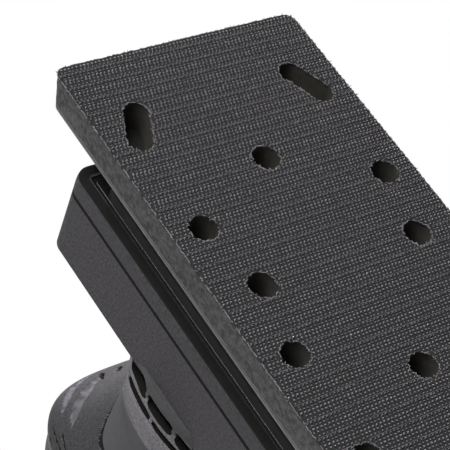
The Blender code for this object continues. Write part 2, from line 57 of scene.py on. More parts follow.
# Pad.
PAD_LENGTH = 187.0
PAD_WIDTH = 90.0
PAD_CORNER = 3.8
PAD_TAPER = 1.7 / 14.2
GROUND_LOW = 0.95
GROUND_TOP = 1.5
FOAM_LOW = 1.5
FOAM_TOP = 11.9
PLATE_LOW = 11.95
PLATE_TOP = 14.2
RIDGES = ((3.6, 18.4), (9.0, 21.6))
RIDGE_THICKNESS = 1.6
HOLE_RADIUS = 4.75
SLOT_RADIUS = 4.3
SLOT_HALF_RUN = 5.7
SLOT_ANGLE = 25.0
SLOT_CENTRE = (64.8, 31.6)
ROUND_HOLES = ((41.3, 0.0), (24.0, 34.0), (0.0, 29.0))

# Hooks stand in rows across the pad, five to a band; the first row of a band is a
# chain of darker loops. Each row: place in the band, pitch, thickness, length, lean.
BAND = 5.6
BAND_COUNT = int(PAD_LENGTH / BAND / 2) + 1
BAND_NUMBERS = range(-BAND_COUNT, BAND_COUNT + 1)
BAND_SHIFT = 0.22
ROW_SHIFT = 0.38
HOOK_ROWS = (
    (0.0, 1.36, 0.74, 0.85, 20.0),
    (0.98, 1.36, 0.7, 0.65, -20.0),
    (2.12, 1.36, 0.86, 0.8, 56.0),
    (3.26, 1.36, 0.82, 0.68, 122.0),
    (4.4, 1.36, 0.74, 0.45, 50.0),
)
PLACE_SPREAD = (0.05, 0.06)
SIZE_SPREAD = (0.08, 0.12)
LEAN_SPREAD = 0.2
HOLE_MARGIN = 0.3

# One hook in its own plane: along, up and its radius, for a thickness and a length of 1.
HOOK_RUN = (-0.34, -0.3, -0.1, 0.22, 0.44)
HOOK_RISE = (0.0, 0.26, 0.5, 0.56, 0.44)
HOOK_RADII = (0.09, 0.12, 0.29, 0.29, 0.12)

# The rib of yarn in each band, and the dashes of cut yarn round the edges.
RIB_PLACE = 0.52
RIB_STEP = 0.75
RIB_RADII = (0.15, 0.2, 0.15)
DASH_SPACING = 0.5
DASH_LENGTHS = (0.6, 1.6)
DASH_RADII = (0.1, 0.15, 0.07)

# Base housing.
BASE_LENGTH = 150.4
BASE_WIDTH = 86.0
BASE_CORNER = 6.0
RIM_BOTTOM = 26.8
SEAM_Z = 33.5
BASE_TOP = 59.4
WALL = 2.5
MOTOR_HOLE = 38.0

# Grip body: height, reach forward, reach back, half width, squareness.
AXIS_X = 4.0
BODY_SECTIONS = (
    (59.0, 49.5, 42.0, 46.0, 2.0),
    (67.0, 48.8, 41.5, 45.2, 2.0),
    (76.0, 48.0, 41.0, 44.5, 2.0),
    (84.0, 46.5, 40.0, 43.2, 2.05),
    (92.0, 45.0, 40.0, 42.3, 2.1),
    (100.0, 45.0, 42.0, 42.2, 2.3),
    (108.0, 48.0, 47.0, 44.0, 2.6),
    (118.0, 54.0, 56.0, 47.0, 2.9),
    (128.0, 61.7, 65.0, 47.4, 3.8),
    (140.0, 66.6, 71.0, 48.8, 2.6),
    (148.0, 66.2, 70.0, 47.5, 2.8),
    (155.0, 60.0, 64.0, 42.0, 2.7),
    (160.0, 47.0, 52.0, 32.0, 2.4),
    (163.0, 24.0, 30.0, 16.0, 2.2),
)
COLLAR_BOTTOM = 59.0
COLLAR_TOP = 76.0
SHELL_TOP = 140.0
CAP_TOP = 163.0
CAP_CROWN = 0.7
SKIRT_BOTTOM = 54.9
SKIRT_GAP = 0.05

# Vents of the collar, on each side: the azimuths of their front and rear ends.
LOW_VENTS = ((53.0, 81.2), (83.0, 100.0), (102.0, 122.0), (124.0, 144.0), (146.0, 166.0))
HIGH_VENTS = ((50.0, 86.8), (88.6, 108.8), (110.6, 130.8), (132.6, 152.8), (154.6, 172.0))
LOW_VENT_Z = 59.8
HIGH_VENT_Z = 66.9
LOW_VENT_HALF = 2.9
HIGH_VENT_HALF = 1.5
VENT_REACH = (4.0, -6.0)

# Relief of the grip. Leaves are the shallow crescents near its front; each crease has
# the azimuth where it starts, its height there and its rise for each degree.
LEAF_DEPTH = 0.9
NOTCH_HALF = 0.8
NOTCH_DEPTH = 1.2
GROOVE_FRONT = 44.5
GROOVE_REAR = 125.0
GROOVE_GAP = 0.8
GROOVE_HALF = 1.1
GROOVE_DEPTH = 1.3
DEGREE_RUN = 0.8
SOFT_FRONT = 44.0
SOFT_LOW = 130.83
CREASES = ((45.0, 126.8, -0.1), (47.0, 130.2, -0.04), (50.0, 122.9, 0.1))
CREASE_HALF = 0.65
CREASE_DEPTH = 0.55

# Screws of the grip: x and z of each, and the well round it.
SCREW_SPOTS = ((38.0, 116.0), (-38.0, 116.0), (50.0, 132.0), (-54.0, 132.0))
WELL_DEPTH = 2.6
WELL_RADII = (3.6, 4.3)
HEAD_DEPTH = 2.0
SCREW_SIDES = 36
SOCKET_LOBE = 0.14

# Switch and rear fittings: places and angles.
SWITCH_CENTRE = (-50.0, 0.0, 157.6)
SWITCH_TILT = -15.0
ROCKER_REST = -6.0
BEZEL_LENGTH = 27.2
BEZEL_WIDTH = 19.2
BEZEL_CORNER = 2.2
PORT_Z = 46.0
PORT_X = -79.5
PORT_BORE = 10.9
INLET_Z = 95.0
INLET_X = -38.0

# Finishes: where the mottle's two tones start, how much finer the gloss changes than the
# colour, and the depth of the fine relief in metres.
TONE_ENDS = (0.35, 0.65)
GLOSS_FINENESS = 3.1
GRAIN_DEPTH = 0.00012
PORE_DEPTH = 0.0004

# Lamps: name, place in metres, size, watts and whether glossy surfaces show it.
LAMP_TARGET = (0.0, 0.0, 0.05)
LAMPS = (
    ("below_key", (0.35, -0.55, -1.0), (0.9, 0.6), 21.0, True),
    ("front_side", (1.15, 0.95, 0.05), (0.5, 0.5), 125.0, False),
    ("near_side", (1.2, -0.6, 0.25), (0.5, 0.4), 8.0, False),
    ("overhead", (-0.2, 0.1, 1.6), (1.0, 0.8), 30.0, True),
    ("rear_fill", (-1.2, 0.2, 0.3), (0.7, 0.7), 10.0, True),
)
AMBIENT = 0.35

# The floor's half width, corners and height, and the angle past which an edge is sharp.
FLOOR_HALF = 3000.0
FLOOR_CORNERS = ((-1, -1), (1, -1), (1, 1), (-1, 1))
FLOOR_Z = -0.6
SHARP_ANGLE = 35.0


# --- Small mathematics


def smooth_curve(points):
    """A smooth function through the points that never overshoots them."""
    xs, ys = (np.array(v, float) for v in zip(*points))
    step = np.diff(xs)
    slope = np.diff(ys) / step
    lean = np.zeros_like(ys)
    lean[0], lean[-1] = slope[0], slope[-1]
    for k in range(1, len(xs) - 1):
        if slope[k - 1] * slope[k] > 0:
            near = 2 * step[k] + step[k - 1]
            far = step[k] + 2 * step[k - 1]
            lean[k] = (near + far) / (near / slope[k - 1] + far / slope[k])

    def at(x):
        x = np.clip(np.asarray(x, float), xs[0], xs[-1])
        k = np.clip(np.searchsorted(xs, x, side="right") - 1, 0, len(step) - 1)
        t = (x - xs[k]) / step[k]
        rise = t * t * (3 - 2 * t)
        return (
            ys[k] * (1 - rise)
            + ys[k + 1] * rise
            + step[k] * (lean[k] * t * (1 - t) ** 2 - lean[k + 1] * t * t * (1 - t))
        )

    return at


def ease(value, low, high):
    """From 0 at low to 1 at high, with no corner at either end."""
    t = np.clip((value - low) / (high - low), 0.0, 1.0)
    return t * t * (3 - 2 * t)


BODY_CURVES = [smooth_curve([(row[0], row[k]) for row in BODY_SECTIONS]) for k in range(1, 5)]


def skin(z, azimuth, offset=0.0):
    """Points of the grip body's skin at heights and azimuths, both in arrays."""
    z, azimuth, offset = np.broadcast_arrays(
        np.asarray(z, float), np.radians(azimuth), np.asarray(offset, float)
    )
    front, back, half, square = (curve(z) for curve in BODY_CURVES)
    c = np.cos(azimuth)
    s = np.sin(azimuth)
    reach = np.where(c > 0, front - AXIS_X, back + AXIS_X)
    radius = ((np.abs(c) / reach) ** square + (np.abs(s) / half) ** square) ** (-1 / square)
    radius = radius + offset
    return np.stack([AXIS_X + radius * c, radius * s, z], -1)


# --- Outlines


def circle(radius, count, centre=(0.0, 0.0)):
    turns = math.tau * np.arange(count) / count
    return np.stack([centre[0] + radius * np.cos(turns), centre[1] + radius * np.sin(turns)], -1)


def rounded_rectangle(length, width, corner, steps=10):
    points = []
    for quarter in range(4):
        middle = math.radians(45 + 90 * quarter)
        cx = math.copysign(length / 2 - corner, math.cos(middle))
        cy = math.copysign(width / 2 - corner, math.sin(middle))
        for step in range(steps + 1):
            angle = math.radians(90 * quarter + 90 * step / steps)
            points.append((cx + corner * math.cos(angle), cy + corner * math.sin(angle)))
    return np.array(points)


def stadium(centre, half_run, radius, degrees):
    steps = 14
    points = []
    for end in (0, 1):
        turn = math.radians(degrees) + math.pi * end
        cx = centre[0] + half_run * math.cos(turn)
        cy = centre[1] + half_run * math.sin(turn)
        for step in range(steps + 1):
            a = turn - math.pi / 2 + math.pi * step / steps
            points.append((cx + radius * math.cos(a), cy + radius * math.sin(a)))
    return np.array(points)


def along(outline, spacing=None, count=None):
    """The closed outline again, as evenly spaced points."""
    loop = np.vstack([outline, outline[:1]])
    run = np.concatenate([[0], np.cumsum(np.linalg.norm(np.diff(loop, axis=0), axis=1))])
    count = count or max(8, round(run[-1] / spacing))
    places = np.linspace(0, run[-1], count, endpoint=False)
    return np.stack([np.interp(places, run, loop[:, k]) for k in (0, 1)], -1)


def pad_outline(z, inset=0.0, steps=10):
    lean = z * PAD_TAPER + inset
    corner = max(PAD_CORNER - inset * 0.5, 1.0)
    return rounded_rectangle(PAD_LENGTH - 2 * lean, PAD_WIDTH - 2 * lean, corner, steps)


def base_outline(inset):
    corner = max(BASE_CORNER - inset, 1.0)
    return rounded_rectangle(BASE_LENGTH - 2 * inset, BASE_WIDTH - 2 * inset, corner)


SIGNS = [(sx, sy) for sx in (1, -1) for sy in (1, -1)]
ROUND_CENTRES = sorted({(sx * x, sy * y) for x, y in ROUND_HOLES for sx, sy in SIGNS})
SLOTS = [
    ((sx * SLOT_CENTRE[0], sy * SLOT_CENTRE[1]), -sx * sy * SLOT_ANGLE) for sx, sy in SIGNS
]


def dust_hole_outlines(grow=0.0):
    rounds = [circle(HOLE_RADIUS + grow, 40, spot) for spot in ROUND_CENTRES]
    return rounds + [stadium(spot, SLOT_HALF_RUN, SLOT_RADIUS + grow, turn) for spot, turn in SLOTS]


def hole_distance(points):
    """How far each point is outside the nearest dust hole; negative inside one."""
    nearest = np.full(len(points), 1e9)
    for spot in ROUND_CENTRES:
        nearest = np.minimum(nearest, np.linalg.norm(points - spot, axis=1) - HOLE_RADIUS)
    for centre, angle in SLOTS:
        turn = math.radians(angle)
        line = np.array([math.cos(turn), math.sin(turn)])
        away = points - centre
        reach = np.clip(away @ line, -SLOT_HALF_RUN, SLOT_HALF_RUN)
        off = np.linalg.norm(away - reach[:, None] * line, axis=1)
        nearest = np.minimum(nearest, off - SLOT_RADIUS)
    return nearest


# --- Meshes


def add_object(name, data):
    obj = bpy.data.objects.new(name, data)
    bpy.context.scene.collection.objects.link(obj)
    return obj


def add_piece(name, points, faces, finishes, zones=None, sharp=SHARP_ANGLE):
    """One mesh object from points in millimetres; zones give each face its finish."""
    mesh = bpy.data.meshes.new(name)
    mesh.from_pydata((np.asarray(points) * MM).tolist(), [], faces)
    shape = bmesh.new()
    shape.from_mesh(mesh)
    bmesh.ops.recalc_face_normals(shape, faces=shape.faces)
    shape.to_mesh(mesh)
    shape.free()
    for finish in finishes:
        mesh.materials.append(finish)
    if zones is not None:
        mesh.polygons.foreach_set("material_index", np.asarray(zones, np.int32))
    mesh.shade_smooth()
    mesh.set_sharp_from_angle(angle=math.radians(sharp))
    return add_object(name, mesh)


def ring_faces(rings, count):
    low = np.arange(rings - 1)[:, None] * count + np.arange(count)
    high = np.arange(rings - 1)[:, None] * count + (np.arange(count) + 1) % count
    return np.stack([low, high, high + count, low + count], -1).reshape(-1, 4).tolist()


def lofted(name, rings, finishes, zones=None):
    """A solid through rings of equal length, closed at both ends."""
    rings = np.asarray(rings)
    count = rings.shape[1]
    faces = ring_faces(len(rings), count)
    faces.append(list(range(count))[::-1])
    faces.append(list(range((len(rings) - 1) * count, len(rings) * count)))
    return add_piece(name, rings.reshape(-1, 3), faces, finishes, zones)


def looped(name, rings, finishes, zones=None):
    """A ring-shaped solid: the last ring joins the first."""
    rings = np.asarray(rings)
    count = rings.shape[1]
    total = len(rings) * count
    faces = (np.array(ring_faces(len(rings) + 1, count)) % total).tolist()
    return add_piece(name, rings.reshape(-1, 3), faces, finishes, zones)


def level(outline, z):
    return np.column_stack([outline, np.full(len(outline), z)])


def fillet(inside, outside, steps=5):
    """Points of a quarter round in a profile, from one (inset, z) corner to another."""
    (a, b), (c, d) = inside, outside
    turns = np.linspace(0, math.pi / 2, steps + 1)
    return [(a + (c - a) * math.sin(t), b + (d - b) * (1 - math.cos(t))) for t in turns]


def settle(obj, *helpers):
    """Applies the modifiers to the mesh and removes the helpers that they used."""
    graph = bpy.context.evaluated_depsgraph_get()
    made = bpy.data.meshes.new_from_object(obj.evaluated_get(graph))
    obj.modifiers.clear()
    obj.data = made
    made.shade_smooth()
    made.set_sharp_from_angle(angle=math.radians(SHARP_ANGLE))
    for helper in helpers:
        bpy.data.objects.remove(helper, do_unlink=True)


def combine(obj, helper, operation="DIFFERENCE"):
    modifier = obj.modifiers.new("combine", "BOOLEAN")
    modifier.operation = operation
    modifier.object = helper
    modifier.solver = "EXACT"
    modifier.material_mode = "TRANSFER"
    helper.hide_render = True


def cut(obj, helper):
    combine(obj, helper)
    settle(obj, helper)


def bridged(name, pairs, finish):
    """Closed solids, each between two loops of points, in one helper mesh."""
    points, faces = [], []
    for near, far in pairs:
        first, count = len(points), len(near)
        points += near.tolist() + far.tolist()
        loop = list(range(first, first + count))
        faces.append(loop[::-1])
        faces.append([i + count for i in loop])
        faces += [[i, j, j + count, i + count] for i, j in zip(loop, loop[1:] + loop[:1])]
    return add_piece(name, points, faces, [finish])


def prisms(name, outlines, low, high, finish):
    return bridged(name, [(level(line, low), level(line, high)) for line in outlines], finish)


# A direction that no fibre follows.
FIBRE_ASIDE = (0.31, -0.83, 0.47)


def fibres(paths, radii, sides=4):
    """Points and faces of many thin closed tubes; paths has the shape (tubes, points, 3)."""
    tubes, count = paths.shape[:2]
    heading = np.gradient(paths, axis=1)
    heading /= np.linalg.norm(heading, axis=2, keepdims=True) + 1e-12
    side = np.cross(heading, FIBRE_ASIDE)
    side /= np.linalg.norm(side, axis=2, keepdims=True) + 1e-12
    other = np.cross(heading, side)
    turns = math.tau * np.arange(sides) / sides
    radii = np.atleast_2d(radii)[:, :, None, None]
    ring = side[:, :, None] * np.cos(turns)[:, None] + other[:, :, None] * np.sin(turns)[:, None]
    points = (paths[:, :, None] + ring * radii).reshape(-1, 3)
    one = np.array(ring_faces(count, sides))
    starts = np.arange(tubes)[:, None, None] * count * sides
    quads = (starts + one).reshape(-1, 4)
    end = (starts + np.arange(sides) + (count - 1) * sides).reshape(-1, sides)
    base = (starts + np.arange(sides)[::-1]).reshape(-1, sides)
    return points, quads.tolist() + end.tolist() + base.tolist()


# --- Finishes


def feed(tree, node, inputs):
    """Gives each input of a node its value, or a link from another node's output."""
    for name, value in inputs.items():
        if isinstance(value, bpy.types.NodeSocket):
            tree.links.new(value, node.inputs[name])
        else:
            node.inputs[name].default_value = value


def add_node(tree, kind, inputs=None, **fields):
    node = tree.nodes.new(kind)
    for name, value in fields.items():
        setattr(node, name, value)
    feed(tree, node, inputs or {})
    return node


def noise(tree, place, scale, detail=3.0):
    inputs = {"Vector": place, "Scale": scale, "Detail": detail, "Roughness": 0.55}
    return add_node(tree, "ShaderNodeTexNoise", inputs).outputs["Fac"]


def cells(tree, place, scale):
    inputs = {"Vector": place, "Scale": scale, "Randomness": 1.0}
    return add_node(tree, "ShaderNodeTexVoronoi", inputs).outputs["Distance"]


def remap(tree, value, low, high, to_low, to_high):
    ends = {"From Min": low, "From Max": high, "To Min": to_low, "To Max": to_high}
    return add_node(tree, "ShaderNodeMapRange", {"Value": value, **ends}).outputs["Result"]


def two_tone(tree, value, dark, light):
    node = add_node(tree, "ShaderNodeValToRGB", {"Fac": value})
    first, last = node.color_ramp.elements
    first.position, last.position = TONE_ENDS
    first.color = (*dark, 1.0)
    last.color = (*light, 1.0)
    return node.outputs["Color"]


def bump(tree, height, strength, distance, below=None):
    inputs = {"Height": height, "Strength": strength, "Distance": distance}
    if below is not None:
        inputs["Normal"] = below
    return add_node(tree, "ShaderNodeBump", inputs).outputs["Normal"]


def faded(tree, place, tone, first, last, share):
    """The tone, multiplied by a share that is reached gradually between two heights."""
    height = add_node(tree, "ShaderNodeSeparateXYZ", {"Vector": place}).outputs["Z"]
    inputs = {0: tone, "Scale": remap(tree, height, first, last, 1.0, share)}
    return add_node(tree, "ShaderNodeVectorMath", inputs, operation="SCALE").outputs[0]


def shaded(colour, share):
    return tuple(min(1.0, c * share) for c in colour)


def new_material(name):
    """A material with its node tree and its shader."""
    made = bpy.data.materials.new(name)
    made.use_nodes = True
    return made, made.node_tree, made.node_tree.nodes["Principled BSDF"]


def finish(
    name, colour, roughness, mottle=0.08, mottle_scale=260.0, grain=0.0, grain_scale=2200.0,
    pores=0.0, pore_scale=1500.0, rough_change=0.06, fade=None, **sockets,
):
    """A procedural finish: mottled colour, uneven gloss and a fine relief.

    A fade is (from, to, share): the colour takes that share of itself above the second height.
    """
    made, tree, shader = new_material(name)
    place = add_node(tree, "ShaderNodeTexCoord").outputs["Object"]
    broad = noise(tree, place, mottle_scale)
    tone = two_tone(tree, broad, shaded(colour, 1 - mottle), shaded(colour, 1 + mottle))
    if fade:
        tone = faded(tree, place, tone, *fade)
    uneven = noise(tree, place, mottle_scale * GLOSS_FINENESS, 4.0)
    gloss = remap(tree, uneven, 0.3, 0.7, roughness - rough_change, roughness + rough_change)
    feed(tree, shader, {"Base Color": tone, "Roughness": gloss})
    normal = None
    if grain:
        normal = bump(tree, noise(tree, place, grain_scale, 2.0), grain, GRAIN_DEPTH)
    if pores:
        normal = bump(tree, cells(tree, place, pore_scale), pores, PORE_DEPTH, normal)
    if normal is not None:
        feed(tree, shader, {"Normal": normal})
    feed(tree, shader, {socket.replace("_", " "): value for socket, value in sockets.items()})
    return made


HOOK_FIBRE = finish(
    "hook_fibre", (0.132, 0.122, 0.138), 0.3, mottle=0.28, mottle_scale=420.0, Sheen_Weight=0.2
)
CHAIN_FIBRE = finish(
    "chain_fibre", (0.098, 0.0905, 0.103), 0.33, mottle=0.25, mottle_scale=420.0, Sheen_Weight=0.2
)
RIB_FIBRE = finish(
    "rib_fibre", (0.05, 0.0465, 0.053), 0.4, mottle=0.5, mottle_scale=700.0, Sheen_Weight=0.2
)
CUT_FIBRE = finish(
    "cut_fibre", (0.12, 0.113, 0.125), 0.5, mottle=0.4, mottle_scale=500.0, Sheen_Weight=0.2
)
HOOK_GROUND = finish(
    "hook_ground", (0.0095, 0.009, 0.0098), 0.85, mottle=0.3, mottle_scale=900.0, grain=0.6
)
FOAM = finish(
    "foam_rubber", (0.05, 0.0477, 0.0497), 0.9, mottle=0.5, mottle_scale=560.0, grain=0.55,
    grain_scale=1500.0, pores=0.5, pore_scale=1700.0,
)
# Darker than the foam: painted shade on the walls cut by the dust holes, also used for the dust
# channel cover.
SHADED_HOLE_WALL = finish(
    "hole_wall_painted_shade", (0.032, 0.0308, 0.0262), 0.9, mottle=0.2, grain=0.4, Specular_IOR_Level=0.2
)
# The fade makes the plate's side up to 3.6 times lighter towards its top edge: a painted highlight
# along the pad's edge.
PLATE_EDGE_WITH_HIGHLIGHT = finish(
    "plate_edge_with_painted_highlight", (0.069, 0.0675, 0.0695), 0.7, mottle=0.14, mottle_scale=420.0, grain=0.3,
    rough_change=0.05, fade=(0.0126, 0.0141, 3.6),
)
PLATE_BLACK = finish(
    "plate_black", (0.016, 0.0158, 0.0155), 0.34, mottle=0.12, grain=0.12, rough_change=0.05
)
HOUSING = finish(
    "housing_charcoal", (0.041, 0.0381, 0.042), 0.52, mottle=0.42, mottle_scale=1300.0,
    grain=0.22, grain_scale=2600.0, rough_change=0.04,
)
RIM_FINISH = finish(
    "rim_charcoal", (0.038, 0.0355, 0.0387), 0.46, mottle=0.35, mottle_scale=1300.0, grain=0.16,
    grain_scale=2600.0, rough_change=0.04,
)
GLOSS_BLACK = finish(
    "gloss_black", (0.012, 0.012, 0.0115), 0.2, mottle=0.05, grain=0.05, rough_change=0.03
)
# The fade darkens the grip to a quarter between 86 and 100 mm high, so the neck below keeps the
# collar's pale tone: partly a paler finish, partly painted sheen.
GRIP = finish(
    "grip_charcoal", (0.13, 0.124, 0.1345), 0.4, mottle=0.5, mottle_scale=1700.0,
    fade=(0.086, 0.1, 0.25), grain=0.3, grain_scale=1700.0, rough_change=0.05,
)
# Paler than the housing: partly the collar's own paler speckled finish, partly painted sheen on the
# neck.
COLLAR = finish(
    "collar_grey_and_painted_sheen", (0.13, 0.124, 0.1345), 0.5, mottle=0.55, mottle_scale=2300.0, grain=0.35,
    grain_scale=1700.0, rough_change=0.05,
)
# Lighter than the grip: partly the leaves' own paler plastic, partly a painted reflection.
RECESS = finish(
    "recess_grey", (0.06, 0.058, 0.065), 0.5, mottle=0.4, mottle_scale=330.0, grain=0.25
)
SHADOW_LINE = finish(
    "shadow_line", (0.007, 0.0068, 0.0058), 0.8, mottle=0.1, Specular_IOR_Level=0.12
)
SOFT_GRIP = finish(
    "soft_grip", (0.034, 0.033, 0.035), 0.62, grain=0.3, pores=0.25, pore_scale=900.0,
    Sheen_Weight=0.1,
)
LABEL = finish(
    "label_blank", (0.056, 0.0545, 0.0585), 0.4, mottle=0.05, grain=0.12, rough_change=0.05
)
RUBBER = finish("rubber", (0.022, 0.0215, 0.0215), 0.66, mottle=0.12, grain=0.3, pores=0.1)
BLACK_PLASTIC = finish("black_plastic_fine", (0.02, 0.0198, 0.0195), 0.4, grain=0.2)
STEEL = finish("turned_steel", (0.56, 0.56, 0.57), 0.3, mottle=0.06, grain=0.1, Metallic=1.0)
ALUMINIUM = finish("cast_aluminium", (0.6, 0.6, 0.61), 0.48, mottle=0.1, grain=0.5, Metallic=1.0)
COPPER = finish("copper_wire", (0.62, 0.28, 0.14), 0.35, mottle=0.2, grain=0.6, Metallic=1.0)
IRON = finish("stacked_iron", (0.2, 0.2, 0.21), 0.5, mottle=0.15, grain=0.4, Metallic=1.0)

NODE_FINISHES = (
    (SHADED_HOLE_WALL, ("dust_channel_cover",)),
    (ALUMINIUM, ("bearing_carrier", "motor_bracket")),
    (STEEL, [f"carrier_screw_{number}" for number in (1, 2, 3, 4)]),
    (STEEL, ("pad_bearing_outer_ring", "pad_bearing_inner_ring", "motor_shaft", "crank_hub")),
    (STEEL, ("lower_bearing", "upper_bearing")),
    (IRON, ("counterweight", "armature_core", "field_stator")),
    (COPPER, ("winding_lower", "winding_upper", "commutator")),
    (BLACK_PLASTIC, ("cooling_fan", "dust_port", "switch_module")),
    (BLACK_PLASTIC, ("brush_holder_left", "brush_holder_right")),
    (RUBBER, ("dust_seal", "upper_bearing_seat")),
    (RUBBER, [f"pad_leg_{number}" for number in (1, 2, 3, 4)]),
)


def dress_frame_nodes():
    for look, names in NODE_FINISHES:
        for name in names:
            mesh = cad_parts[name].data
            mesh.materials.clear()
            mesh.materials.append(look)


def stand_for(obj, body, slot, *nodes):
    """The piece rides on a body and replaces the CAD nodes; the slot is not used."""
    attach(obj, body)
    if nodes:
        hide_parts(*nodes)


# --- Pad


def build_fabric():
    """The woven ground of the hook fabric, cut out round the dust holes."""
    rings = [
        level(pad_outline(GROUND_TOP), GROUND_TOP),
        level(pad_outline(GROUND_LOW), GROUND_LOW),
    ]
    ground = lofted("hook_fabric", rings, [HOOK_GROUND])
    holes = prisms("fabric_holes", dust_hole_outlines(), GROUND_LOW - 1, GROUND_TOP + 1, SHADED_HOLE_WALL)
    cut(ground, holes)
    stand_for(ground, "sanding_pad", "hook_fabric", "hook_facing")
    pieces = [*build_hooks(), build_ribs(), build_cut_edges()]
    for piece in pieces:
        stand_for(piece, "sanding_pad", "hook_fabric")


def hook_layout():
    """Each hook's place, thickness, length, heading and row, in rows across the pad."""
    random = np.random.RandomState(11)
    rows = []
    for band in BAND_NUMBERS:
        for number, (place, pitch, thickness, length, lean) in enumerate(HOOK_ROWS):
            count = int(PAD_WIDTH / pitch) + 2
            y = (np.arange(count) - count / 2) * pitch - ROW_SHIFT * number
            y = y + BAND_SHIFT * band % pitch + random.normal(0, PLACE_SPREAD[1], count)
            x = -band * BAND - place + random.normal(0, PLACE_SPREAD[0], count)
            longer = 1 + 0.35 * (number == 2) * ease(x, 5.0, 60.0)
            columns = [
                x,
                y,
                thickness * random.normal(1.0, SIZE_SPREAD[0], count),
                length * longer * random.normal(1.0, SIZE_SPREAD[1], count),
                math.radians(lean) + random.normal(0, LEAN_SPREAD, count),
                np.full(count, number),
            ]
            rows.append(np.column_stack(columns))
    hooks = np.vstack(rows)
    inside = np.abs(hooks[:, 0]) < PAD_LENGTH / 2 - 0.6
    inside &= np.abs(hooks[:, 1]) < PAD_WIDTH / 2 - 0.55
    inside &= hole_distance(hooks[:, :2]) > HOLE_MARGIN
    return hooks[inside]


def build_hooks():
    """Short bent hooks, thin at the root and thick at the bend that faces the work."""
    hooks = hook_layout()
    heading = np.column_stack([np.sin(hooks[:, 4]), np.cos(hooks[:, 4])])
    reach = (hooks[:, 3:4] * HOOK_RUN)[:, :, None] * heading[:, None, :]
    z = GROUND_LOW - HOOK_RISE * np.clip(hooks[:, 2:3], 0.6, 1.05)
    paths = np.dstack([hooks[:, None, :2] + reach, z])
    chain = hooks[:, 5] == 0
    groups = (
        ("hooks_front", ~chain & (hooks[:, 0] >= 0), HOOK_FIBRE),
        ("hooks_rear", ~chain & (hooks[:, 0] < 0), HOOK_FIBRE),
        ("hook_chains", chain, CHAIN_FIBRE),
    )
    pieces = []
    for name, chosen, look in groups:
        points, faces = fibres(paths[chosen], HOOK_RADII * hooks[chosen, 2:3])
        pieces.append(add_piece(name, points, faces, [look], sharp=180))
    return pieces


def build_ribs():
    """The thin yarn that runs along each band between two rows of hooks."""
    random = np.random.RandomState(4)
    run = np.arange(-PAD_WIDTH / 2 + 0.7, PAD_WIDTH / 2 - 0.7, RIB_STEP)
    paths = []
    for band in BAND_NUMBERS:
        x = -band * BAND + RIB_PLACE
        if abs(x) > PAD_LENGTH / 2 - 0.8:
            continue
        centre = np.column_stack([np.full(len(run), x), run])
        centre[:, 0] += random.normal(0, 0.05, len(run))
        z = GROUND_LOW - 0.2 - 0.08 * np.cos(np.arange(len(run)) * math.pi)
        line = np.column_stack([centre, z])
        clear = hole_distance(centre) > HOLE_MARGIN
        for i in range(0, len(run) - 2, 2):
            if clear[i : i + 3].all():
                paths.append(line[i : i + 3])
    points, faces = fibres(np.array(paths), RIB_RADII, sides=6)
    return add_piece("rib_yarn", points, faces, [RIB_FIBRE], sharp=180)


def build_cut_edges():
    """Pale dashes of cut yarn round the fabric's edge and the rims of the dust holes."""
    random = np.random.RandomState(23)
    paths = []
    outlines = [(pad_outline(GROUND_LOW), 1, 0.1)]
    outlines += [(outline, -1, 0.25) for outline in dust_hole_outlines()]
    for outline, outwards, unevenness in outlines:
        line = along(outline, DASH_SPACING)
        tangent = np.roll(line, -1, axis=0) - np.roll(line, 1, axis=0)
        tangent /= np.linalg.norm(tangent, axis=1, keepdims=True)
        normal = np.column_stack([tangent[:, 1], -tangent[:, 0]]) * outwards
        for i in range(len(line)):
            if random.rand() < 0.4:
                continue
            stray = random.rand() < 0.1
            length = random.uniform(*DASH_LENGTHS) * (0.4 if stray else 1.0)
            push = random.normal(0.0, unevenness, 3)
            z = GROUND_LOW + np.array([0.1, -0.12, -0.05]) + random.normal(0, 0.08, 3)
            if stray:
                push[2] += random.uniform(0.2, 0.55)
                z[2] -= random.uniform(0.0, 0.5)
            steps = np.array([-0.5, 0.0, 0.5]) * length
            flat = line[i] + steps[:, None] * tangent[i] + push[:, None] * normal[i]
            paths.append(np.column_stack([flat, np.clip(z, 0.05, None)]))
    points, faces = fibres(np.array(paths), DASH_RADII)
    return add_piece("cut_edge_fibres", points, faces, [CUT_FIBRE], sharp=180)


def build_foam():
    """The foam cushion, its sides slightly uneven, cut through by the dust holes."""
    heights = [FOAM_LOW, FOAM_LOW + 0.25, *np.linspace(2.6, 11.4, 9), FOAM_TOP]
    insets = [0.35, 0.08, *np.zeros(9), 0.25]
    random = np.random.RandomState(8)
    rings = []
    for z, inset in zip(heights, insets):
        outline = along(pad_outline(z, inset, steps=8), count=360)
        middle = outline / np.linalg.norm(outline, axis=1, keepdims=True)
        rings.append(level(outline + middle * random.normal(0, 0.05, (len(outline), 1)), z))
    foam = lofted("foam_cushion_soft", rings, [FOAM])
    holes = prisms("foam_holes", dust_hole_outlines(0.1), 0.0, 15.0, SHADED_HOLE_WALL)
    cut(foam, holes)
    stand_for(foam, "sanding_pad", "foam", "foam_cushion")


